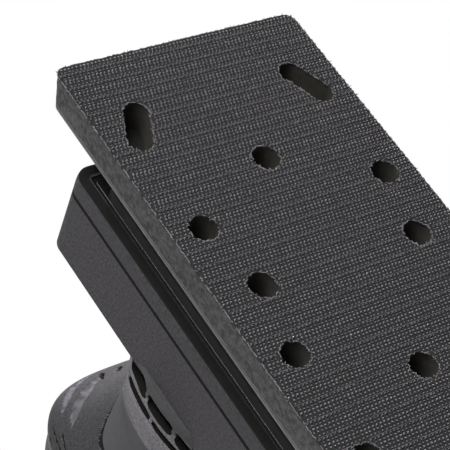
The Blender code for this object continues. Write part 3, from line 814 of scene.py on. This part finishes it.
def build_plate():
    """The moulded backing plate with its two upstanding ridges."""
    profile = [(0.25, PLATE_LOW), (0.0, PLATE_LOW + 0.25)]
    profile += fillet((0.0, PLATE_TOP - 0.6), (0.6, PLATE_TOP))
    rings = [level(pad_outline(z, inset), z) for inset, z in profile]
    count = len(rings[0])
    zones = [0] * (count * (len(rings) - 2)) + [1] * (count + 2)
    plate = lofted("backing_plate_moulded", rings, [PLATE_EDGE_WITH_HIGHLIGHT, PLATE_BLACK], zones)
    holes = prisms("plate_holes", dust_hole_outlines(), 12.0, 15.0, SHADED_HOLE_WALL)
    cut(plate, holes)
    ridges = []
    for number, (near, top) in enumerate(RIDGES, 1):
        far = near + RIDGE_THICKNESS
        profile = [(near - 0.5, PLATE_TOP - 0.1), (near, PLATE_TOP + 0.5)]
        profile += fillet((near, top - 0.6), (near + 0.6, top))
        profile += fillet((far - 0.6, top), (far, top - 0.6))[1:]
        profile += [(far, PLATE_TOP + 0.5), (far + 0.5, PLATE_TOP - 0.1)]
        rings = [level(pad_outline(PLATE_TOP, i), z) for i, z in profile]
        ridges.append(looped(f"plate_ridge_{number}", rings, [PLATE_BLACK]))
    stand_for(plate, "sanding_pad", "black_plastic", "backing_plate")
    for ridge in ridges:
        stand_for(ridge, "sanding_pad", "black_plastic")


# --- Base


def build_rim():
    """The base's lower lip: satin outside, glossy below and inside, with a pale strip along its
    inner edge that paints a highlight.
    """
    low = RIM_BOTTOM
    # The third zone takes the collar's pale grey: a painted highlight along the lip's inner edge.
    satin, glossy, painted_highlight = 0, 1, 2
    lip = fillet((0.6, low), (0.35, low + 0.25), 3)[1:]
    wall = [(0.14, low + 1.2), (0.03, low + 2.6), (0.0, low + 4.0), (0.0, SEAM_Z - 0.5)]
    tongue = [(0.5, SEAM_Z - 0.35), (2.8, SEAM_Z - 0.35), (2.8, SEAM_Z + 1.2), (9.4, SEAM_Z + 1.2)]
    runs = (
        (glossy, [(3.8, low), (0.9, low), *lip[:-1]]),
        (satin, [lip[-1], *wall]),
        (glossy, [*tongue, (9.4, low + 1.9), (6.3, low + 1.5)]),
        (satin, [(6.1, low + 1.15)]),
        (glossy, [(5.9, low + 1.3), (4.7, low + 1.1)]),
        (painted_highlight, [(4.45, low + 0.5)]),
        (satin, [(4.2, low + 0.15)]),
    )
    rings = [level(base_outline(inset), z) for _, run in runs for inset, z in run]
    zones = np.repeat([zone for zone, run in runs for _ in run], len(rings[0]))
    rim = looped("base_rim_moulded", rings, [RIM_FINISH, GLOSS_BLACK, COLLAR], zones)
    stand_for(rim, "housing", "charcoal_plastic", "base_rim")


def build_base_shell():
    """The base's walls and top in one skin, open below and round the motor."""
    profile = [(1.4, SEAM_Z), (0.8, SEAM_Z + 0.1), (0.0, SEAM_Z + 0.9)]
    profile += fillet((0.0, BASE_TOP - 1.0), (1.0, BASE_TOP), 5)
    outer = [level(base_outline(inset), z) for inset, z in profile]
    count = len(outer[0])
    compass = np.arctan2(outer[0][:, 1], outer[0][:, 0])
    hole = np.column_stack([MOTOR_HOLE * np.cos(compass), MOTOR_HOLE * np.sin(compass)])
    under = BASE_TOP - WALL
    rings = outer + [level(hole, BASE_TOP), level(hole, under)]
    rings += [level(base_outline(WALL), z) for z in (under, SEAM_Z)]
    # The seam's chamfer and the bottom face take the shadow_line finish: a painted shadow line
    # along the seam.
    zones = np.repeat([1, 1] + [0] * (len(rings) - 3) + [1], count)
    shell = looped("base_shell_moulded", rings, [HOUSING, SHADOW_LINE], zones)
    bore = circle(PORT_BORE, 40)
    port = [[(x, y, PORT_Z + z) for y, z in bore] for x in (-BASE_LENGTH / 2 - 3, -60.0)]
    cut(shell, lofted("port_hole", port, [HOUSING]))
    stand_for(shell, "housing", "charcoal_plastic", "base_shell")


# --- Grip body

# Leaves: lower and upper edge over the azimuth, and the azimuths that they end at.
LEAVES = (
    (
        smooth_curve(((18, 121.5), (25, 119.4), (33, 117.1), (42, 116.8), (50, 119.6))),
        smooth_curve(((18, 122.6), (27, 121.6), (34, 121.0), (42, 120.7), (50, 119.6))),
        20,
        50,
    ),
    (
        smooth_curve(((14, 127.6), (22, 125.4), (29, 123.9), (36, 122.6), (44, 123.4))),
        smooth_curve(((14, 129.5), (20, 128.4), (27, 127.2), (34, 125.4), (44, 123.4))),
        16,
        44,
    ),
)
LABEL_LOW = smooth_curve(((45, 93.6), (50, 90.6), (58, 86.4), (71, 81.8), (84, 79.4), (125, 78.6)))
LABEL_TOP = smooth_curve(((45, 93.8), (50, 100.0), (57, 104.3), (63, 106.2), (80, 107), (125, 107)))

# Slanting notches at the leaves' front ends: azimuth, height, slope, reach to each end.
NOTCHES = ((20.5, 121.2, -0.7, 3.2), (13.5, 120.2, -0.7, 2.8), (15.0, 128.4, -0.7, 2.6))

# LINE zones take the shadow_line finish: painted shade in the notches, the label's groove and the
# creases.
PLAIN, LEAF, LINE, SOFT = range(4)
GRIP_FINISHES = (GRIP, RECESS, SHADOW_LINE, SOFT_GRIP)


def grip_relief(z, azimuth):
    """Offset of the grip's skin and which finish it shows, at heights and azimuths."""
    turn = np.abs(azimuth)
    offset = np.zeros_like(z)
    zone = np.full(z.shape, PLAIN)
    for low, high, first, last in LEAVES:
        depth = np.minimum(z - low(turn), high(turn) - z)
        depth = np.where((turn > first) & (turn < last), depth, -1.0)
        offset -= LEAF_DEPTH * ease(depth, -0.1, 0.7)
        zone = np.where(depth > 0.35, LEAF, zone)
    for middle, height, slope, reach in NOTCHES:
        across = np.abs(z - height - slope * (turn - middle)) / math.hypot(1, slope)
        spot = np.minimum(1 - np.abs(turn - middle) / reach, 1 - across / NOTCH_HALF)
        offset -= NOTCH_DEPTH * ease(spot, 0.0, 0.4)
        zone = np.where(spot > 0.15, LINE, zone)
    steep = np.hypot(1.0, (LABEL_TOP(turn + 0.5) - LABEL_TOP(turn - 0.5)) / DEGREE_RUN)
    edge = np.abs(z - LABEL_TOP(turn) - GROOVE_GAP * steep) / steep
    groove = (turn > GROOVE_FRONT) & (turn < GROOVE_REAR) & (edge < GROOVE_HALF)
    offset -= np.where(groove, GROOVE_DEPTH * (1 - ease(edge, 0.5, GROOVE_HALF)), 0.0)
    zone = np.where(groove & (edge < 0.9), LINE, zone)
    for start, height, slope in CREASES:
        away = np.abs(z - height - slope * (turn - start))
        chosen = (turn > start) & (away < CREASE_HALF)
        offset -= np.where(chosen, CREASE_DEPTH * (1 - ease(away, 0.2, CREASE_HALF)), 0.0)
        zone = np.where(chosen & (away < 0.2), LINE, zone)
    soft = (turn > SOFT_FRONT) & (z > SOFT_LOW + 0.03 * (turn - SOFT_FRONT)) & (zone == PLAIN)
    return offset, np.where(soft, SOFT, zone)


def grip_grid(side):
    """Heights and azimuths in fine steps where the skin carries relief, coarse elsewhere."""
    turns = [*np.linspace(0.25, 8, 6), *np.arange(8.4, 70, 0.4)]
    turns += [*np.arange(70.5, 126, 1.0), *np.linspace(127, 179.75, 36)]
    heights = [COLLAR_TOP + 0.08, COLLAR_TOP + 0.5, *np.arange(77.4, 92, 1.2)]
    heights += [*np.arange(92.4, 110.8, 0.35), *np.arange(112, 116.5, 1.1)]
    heights += [*np.arange(116.8, 139.6, 0.33), 139.75, SHELL_TOP - 0.1]
    return np.meshgrid(heights, side * np.array(turns), indexing="ij")


def sheet_solid(name, outer, inner, zones, finishes):
    """A wall from an outer and an inner grid of points, joined round the edge."""
    tall, wide = outer.shape[:2]
    points = np.concatenate([outer.reshape(-1, 3), inner.reshape(-1, 3)])
    a = (np.arange(tall - 1)[:, None] * wide + np.arange(wide - 1)).reshape(-1)
    quads = np.stack([a, a + 1, a + wide + 1, a + wide], -1)
    layer = tall * wide
    edge = [*range(wide), *range(2 * wide - 1, layer, wide)]
    edge += [*range(layer - 2, layer - wide - 1, -1), *range((tall - 2) * wide, 0, -wide)]
    edge = np.array(edge)
    nearby = np.roll(edge, -1)
    rim = np.stack([edge, nearby, nearby + layer, edge + layer], -1)
    faces = np.concatenate([quads, quads[:, ::-1] + layer, rim])
    marks = np.concatenate([zones.reshape(-1), np.zeros(len(faces) - len(quads), int)])
    return add_piece(name, points, faces.tolist(), finishes, marks, sharp=50)


def screw_wells(points):
    """How far each point of the skin sinks into the round wells of the grip's screws."""
    depth = np.zeros(points.shape[:-1])
    for x, z in SCREW_SPOTS:
        off = np.hypot(points[..., 0] - x, points[..., 2] - z)
        depth += WELL_DEPTH * (1 - ease(off, *WELL_RADII))
    return depth


def build_grip():
    """Both shells of the grip; only the left one has the screws' wells."""
    for side, word in ((1, "left"), (-1, "right")):
        z, azimuth = grip_grid(side)
        offset, zone = grip_relief(z, azimuth)
        ends = np.minimum(np.abs(azimuth), 180 - np.abs(azimuth))
        offset = offset - 0.5 * (1 - ease(ends, 0.2, 0.9))
        offset = offset - 0.4 * (1 - ease(z, COLLAR_TOP + 0.3, COLLAR_TOP + 0.9))
        offset = offset - 0.4 * ease(z, SHELL_TOP - 0.7, SHELL_TOP - 0.1)
        outer = skin(z, azimuth, offset)
        if word == "left":
            outer = skin(z, azimuth, offset - screw_wells(outer))
        inner = skin(z, azimuth, -WALL)
        corners = np.stack([zone[:-1, :-1], zone[1:, :-1], zone[:-1, 1:], zone[1:, 1:]])
        faces = np.sort(corners, axis=0)[2]
        shell = sheet_solid(f"grip_skin_{word}", outer, inner, faces, GRIP_FINISHES)
        stand_for(shell, "housing", "charcoal_plastic", f"grip_shell_{word}")
        build_label(side, word)


def build_label(side, word):
    """The thin blank label, a wedge that narrows to the front, with softened edges."""
    turns = np.concatenate([np.linspace(45.2, 52, 18), np.linspace(53, 124.5, 73)])
    shares = np.concatenate([[0, 0.012, 0.03], np.linspace(0.06, 0.94, 22), [0.97, 0.988, 1]])
    share, turn = np.meshgrid(shares, turns, indexing="ij")
    low, high = LABEL_LOW(turn) + 0.2, LABEL_TOP(turn) - 0.1
    z = low + (high - low) * share
    inset = np.minimum(share, 1 - share) * (high - low)
    inset = np.minimum(inset, np.minimum(turn - turns[0], turns[-1] - turn) * 0.7)
    rise = 0.25 * ease(inset, 0.0, 0.6)
    outer = skin(z, side * turn, 0.05 + rise)
    inner = skin(z, side * turn, -0.4)
    zones = np.zeros((len(shares) - 1, len(turns) - 1), int)
    label = sheet_solid(f"label_blank_{word}", outer, inner, zones, [LABEL])
    stand_for(label, "housing", "label", f"label_plate_{word}")


def low_vent_middle(turn):
    """Height of the lower row's centre line, which climbs at the front."""
    climb = np.maximum(0.0, 74.0 - turn) / 14.0
    return LOW_VENT_Z + 5.2 * climb**1.5 + 2.6 * ease(turn, 99.0, 112.0)


def high_vent_middle(turn):
    """The same for the upper row."""
    climb = np.maximum(0.0, 88.0 - turn) / 34.0
    return HIGH_VENT_Z + 10.0 * climb**2 + 0.8 * ease(turn, 99.0, 112.0)


def vent_outlines():
    """(azimuths, heights, half heights) of each vent: the front ones start in a point."""
    share = np.linspace(0.0, 1.0, 15)
    vents = []
    rows = (
        (LOW_VENTS, low_vent_middle, LOW_VENT_HALF),
        (HIGH_VENTS, high_vent_middle, HIGH_VENT_HALF),
    )
    for row, middle, widest in rows:
        for number, (first, last) in enumerate(row):
            turn = first + (last - first) * share
            half = widest * np.minimum(1.0, 0.72 + 3.0 * np.minimum(share, 1 - share))
            if number == 0:
                half = half * (0.1 + 1.1 * ease(share, -0.05, 0.4))
            vents += [(side * turn, middle(turn), half) for side in (1, -1)]
    return vents


def collar_relief(z, azimuth):
    """The collar sinks a little round each row of vents, which leaves a soft rib between."""
    turn = np.abs(azimuth)
    sink = np.zeros_like(z)
    for middle in (low_vent_middle, high_vent_middle):
        away = np.abs(z - middle(turn))
        sink += 0.55 * (1 - ease(away, 1.2, 3.4)) * ease(turn, 46.0, 58.0)
    return sink + 0.06 * ease(z, 75.3, COLLAR_TOP)


def build_skirts():
    """The crescents where the round collar stands out past the base's flat sides."""
    pieces = []
    flat = BASE_WIDTH / 2 + SKIRT_GAP
    for side in (1, -1):
        arc = skin(COLLAR_BOTTOM, side * np.linspace(66.0, 114.0, 97))[:, :2]
        arc = arc[np.abs(arc[:, 1]) > flat]
        chord = np.column_stack([arc[[-1, 0], 0], np.full(2, side * flat)])
        outline = np.vstack([arc, chord])
        tucked = outline * [1.0, 1 - 1.2 / 46.0]
        rings = [level(tucked, SKIRT_BOTTOM), level(outline, SKIRT_BOTTOM + 1.8)]
        rings.append(level(outline, COLLAR_BOTTOM + 0.6))
        pieces.append(lofted(f"skirt_{side}", rings, [SOFT_GRIP]))
    return pieces


def vent_tool():
    """Solids of the vents' shapes, through the collar's wall."""
    pairs = []
    for turn, middle, half in vent_outlines():
        turn = np.concatenate([turn, turn[::-1]])
        z = np.concatenate([middle + half, (middle - half)[::-1]])
        pairs.append([skin(z, turn, offset) for offset in VENT_REACH])
    return bridged("vent_tool", pairs, SHADOW_LINE)


def build_collar():
    """The neck's collar with its two rows of vents; its inside and the vents' walls are painted
    dark as shadow.
    """
    heights = [COLLAR_BOTTOM, COLLAR_BOTTOM + 0.3, *np.arange(59.8, 75.2, 0.6), 75.6, COLLAR_TOP]
    azimuths = np.linspace(-180, 180, 289)[:-1]
    z, azimuth = np.meshgrid(heights, azimuths, indexing="ij")
    outer = skin(z, azimuth, -collar_relief(z, azimuth))
    inner = skin(z[::-6], azimuth[::-6], -WALL)
    count = len(azimuths)
    rings = np.concatenate([outer, inner])
    zones = [0] * (len(outer) * count) + [1] * (len(inner) * count)
    collar = looped("collar_moulded", rings, [COLLAR, SHADOW_LINE], zones)
    skirts = build_skirts()
    for skirt in skirts:
        combine(collar, skirt, "UNION")
    vents = vent_tool()
    combine(collar, vents)
    settle(collar, *skirts, vents)
    stand_for(collar, "housing", "charcoal_plastic", "vent_collar")


def build_cap():
    """The soft palm cap, crowned at the top and open for the switch."""
    low = SHELL_TOP + 0.3
    heights = [low, SHELL_TOP + 0.6, *np.linspace(141.2, CAP_TOP, 50)]
    azimuths = np.linspace(0, 360, 181)[:-1]
    z, azimuth = np.meshgrid(heights, azimuths, indexing="ij")
    outer = skin(z, azimuth, -0.45 * (1 - ease(z, low, SHELL_TOP + 1.0)))
    top = []
    for share in (0.85, 0.65, 0.4, 0.15):
        ring = skin(np.full(len(azimuths), CAP_TOP), azimuths)
        ring[:, 0] = AXIS_X - 3.0 * (1 - share) + (ring[:, 0] - AXIS_X) * share
        ring[:, 1] *= share
        ring[:, 2] = CAP_TOP + CAP_CROWN * (1 - share**2)
        top.append(ring)
    cap = lofted("palm_cap_soft", np.concatenate([outer, np.array(top)]), [SOFT_GRIP])
    outline = rounded_rectangle(BEZEL_LENGTH + 0.2, BEZEL_WIDTH + 0.2, BEZEL_CORNER, 6)
    opening = [switch_points(level(outline, z)) for z in (-9.0, 12.0)]
    cut(cap, lofted("switch_opening", opening, [GLOSS_BLACK]))
    stand_for(cap, "housing", "soft_rubber", "palm_cap")


# --- Switch, screws and rear fittings


def switch_points(points):
    """Points about the switch's own centre, tilted to lie in the cap's rear slope."""
    tilt = math.radians(SWITCH_TILT)
    points = np.asarray(points, float)
    across = points[..., 0] * math.cos(tilt) + points[..., 2] * math.sin(tilt)
    up = points[..., 2] * math.cos(tilt) - points[..., 0] * math.sin(tilt)
    return np.stack([across, points[..., 1], up], -1) + np.array(SWITCH_CENTRE)


def build_switch():
    """The bezel's raised frame, and the rocker with fine ripples at both ends."""
    profile = [(0.0, -5.0), (0.0, 0.4)]
    profile += fillet((0.0, 1.2), (1.0, 2.2))
    profile += fillet((1.9, 2.2), (2.4, 1.7), 3)
    profile += [(2.4, -5.0)]
    rings = []
    for i, z in profile:
        size = (BEZEL_LENGTH - 2 * i, BEZEL_WIDTH - 2 * i, BEZEL_CORNER - 0.4 * i)
        rings.append(switch_points(level(rounded_rectangle(*size, 8), z)))
    bezel = looped("switch_bezel_moulded", rings, [BLACK_PLASTIC])
    stand_for(bezel, "housing", "black_plastic", "switch_bezel")
    side = [(-10.0, 2.2), (-10.0, -2.0), (-5.0, -4.0), (5.0, -4.0), (10.0, -2.0), (10.0, 2.2)]
    crown = np.linspace(9.7, -9.7, 25)
    ripple = 0.16 * np.cos(crown * math.tau / 2.4) * (np.abs(crown) > 4.2) * (np.abs(crown) < 9.2)
    side += [(x, 3.05 + 0.006 * x * x + r - 0.4 * (abs(x) > 9.6)) for x, r in zip(crown, ripple)]
    rest = math.radians(ROCKER_REST)
    c, s = math.cos(rest), math.sin(rest)
    side = np.array(side) @ [[c, -s], [s, c]]
    rings = []
    for y, shrink in ((-6.4, 0.95), (-6.0, 1.0), (6.0, 1.0), (6.4, 0.95)):
        points = np.column_stack([side[:, 0] * shrink, np.full(len(side), y), side[:, 1] * shrink])
        rings.append(switch_points(points))
    rocker = lofted("switch_rocker_moulded", rings, [GLOSS_BLACK])
    stand_for(rocker, "rocker", "black_plastic", "switch_rocker")


def skin_half_width(x, z):
    """How far the grip body's skin is from the middle plane at a place."""
    front, back, half, square = (float(curve(z)) for curve in BODY_CURVES)
    reach = front - AXIS_X if x > AXIS_X else back + AXIS_X
    return half * (1 - (abs(x - AXIS_X) / reach) ** square) ** (1 / square)


def build_screws():
    """Countersunk heads with a six-sided socket, one at the bottom of each well."""
    socket = [(1.0, 1.4), (1.6, 1.4), (1.75, 0.15)]
    head = [(2.9, 0.05), (3.3, 0.35), (3.5, 1.0), (3.5, 1.8), (1.6, 2.9), (1.6, 9.0)]
    turns = math.tau * np.arange(SCREW_SIDES) / SCREW_SIDES
    lobes = 1 - SOCKET_LOBE * np.cos(6 * turns)
    for number, (x, z) in enumerate(SCREW_SPOTS, 1):
        top = skin_half_width(x, z) - HEAD_DEPTH
        rings = []
        for radius, run in socket + head:
            reach = radius * lobes if (radius, run) in socket else radius
            across, up = x + reach * np.cos(turns), z + reach * np.sin(turns)
            rings.append(np.column_stack([across, np.full(SCREW_SIDES, top - run), up]))
        screw = lofted(f"grip_screw_head_{number}", rings, [STEEL])
        stand_for(screw, "housing", "steel", f"grip_screw_{number}")


def turned_rearwards(name, profile, place, look, count=48):
    """A ring-shaped solid turned about a line that runs rearwards from the place."""
    rings = []
    for radius, run in profile:
        flat = circle(radius, count)
        x = np.full(count, place[0] - run)
        rings.append(np.column_stack([x, flat[:, 0], place[1] + flat[:, 1]]))
    return looped(name, rings, [look])


def build_rear_fittings():
    """The ribbed hose adapter and the cord's inlet bush, as (radius, run rearwards)."""
    profile = [(PORT_BORE, 0.0), (12.7, 0.0), (13.2, 0.5)]
    for rib in range(4):
        start = 2.6 + 3.4 * rib
        profile += [(13.2, start), (13.8, start + 0.4), (13.8, start + 1.3), (13.2, start + 1.7)]
    profile += [(13.2, 17.0), (14.0, 18.4), (16.2, 22.6), (17.0, 24.0)]
    profile += [(17.0, 43.2), (16.7, 44.3), (16.1, 44.5), (15.1, 44.5), (14.8, 44.1)]
    profile += [(14.8, 25.0), (PORT_BORE, 18.0)]
    place = (PORT_X, PORT_Z)
    adapter = turned_rearwards("dust_adapter_moulded", profile, place, BLACK_PLASTIC, 64)
    stand_for(adapter, "hose_adapter", "black_plastic", "dust_adapter")
    profile = [(3.6, 0.0), (6.8, 0.0), (6.8, 7.6), (8.6, 8.0), (9.0, 8.6), (9.0, 10.2)]
    profile += [(8.5, 10.9), (7.4, 11.0), (6.2, 10.3), (5.0, 11.0), (4.0, 10.9), (3.6, 10.4)]
    inlet = turned_rearwards("cord_inlet_bush", profile, (INLET_X, INLET_Z), RUBBER)
    stand_for(inlet, "housing", "soft_rubber", "cord_inlet")


# --- Stage, light and camera


def build_stage():
    """A pale floor under the pad, seen only from above, so that light from below passes."""
    corners = [(x * FLOOR_HALF, y * FLOOR_HALF, FLOOR_Z) for x, y in FLOOR_CORNERS]
    look, tree, shader = new_material("pale_floor")
    feed(tree, shader, {"Base Color": (0.8, 0.8, 0.8, 1.0), "Roughness": 0.7})
    clear = add_node(tree, "ShaderNodeBsdfTransparent").outputs[0]
    below = add_node(tree, "ShaderNodeNewGeometry").outputs["Backfacing"]
    mix = add_node(tree, "ShaderNodeMixShader", {0: below, 1: shader.outputs[0], 2: clear})
    feed(tree, tree.nodes["Material Output"], {"Surface": mix.outputs[0]})
    mesh = bpy.data.meshes.new("floor")
    mesh.from_pydata([[c * MM for c in p] for p in corners], [], [[0, 1, 2, 3]])
    mesh.materials.append(look)
    floor = add_object("floor", mesh)
    for ray in ("shadow", "diffuse", "glossy", "transmission"):
        setattr(floor, f"visible_{ray}", False)


def add_softbox(name, place, size, watts, glossy):
    data = bpy.data.lights.new(name, "AREA")
    data.shape = "RECTANGLE"
    data.size, data.size_y = size
    data.energy = watts
    lamp = add_object(name, data)
    lamp.location = place
    aim = Vector(LAMP_TARGET) - Vector(place)
    lamp.rotation_mode = "QUATERNION"
    lamp.rotation_quaternion = aim.to_track_quat("-Z", "Y")
    lamp.visible_glossy = glossy


def build_lights():
    """A world that the camera sees as white but lights less, and the lamps."""
    world = bpy.data.worlds.new("studio")
    bpy.context.scene.world = world
    world.use_nodes = True
    tree = world.node_tree
    white = tree.nodes["Background"]
    feed(tree, white, {"Color": (1.0, 1.0, 1.0, 1.0), "Strength": 1.0})
    ambient = add_node(tree, "ShaderNodeBackground", {"Strength": AMBIENT}).outputs[0]
    seen = add_node(tree, "ShaderNodeLightPath").outputs["Is Camera Ray"]
    mix = add_node(tree, "ShaderNodeMixShader", {0: seen, 1: ambient, 2: white.outputs[0]})
    feed(tree, tree.nodes["World Output"], {"Surface": mix.outputs[0]})
    for lamp in LAMPS:
        add_softbox(*lamp)


def build_camera():
    data = bpy.data.cameras.new("reference_camera")
    data.lens = CAMERA_LENS
    data.sensor_width = CAMERA_SENSOR
    data.shift_x = -CAMERA_SHIFT
    data.shift_y = CAMERA_SHIFT
    data.clip_start = 0.05
    data.clip_end = 20.0
    camera = add_object("reference_camera", data)
    forward = Vector(CAMERA_FORWARD).normalized()
    right = forward.cross(Vector(CAMERA_UP)).normalized()
    up = right.cross(forward)
    turn = Matrix((right, up, -forward)).transposed().to_4x4()
    camera.matrix_world = Matrix.Translation(Vector(CAMERA_PLACE) * MM) @ turn
    bpy.context.scene.camera = camera


def build():
    bpy.context.scene.view_settings.view_transform = "Standard"
    build_camera()
    build_lights()
    build_stage()
    dress_frame_nodes()
    build_fabric()
    build_foam()
    build_plate()
    build_rim()
    build_base_shell()
    build_collar()
    build_grip()
    build_cap()
    build_switch()
    build_screws()
    build_rear_fittings()


build()
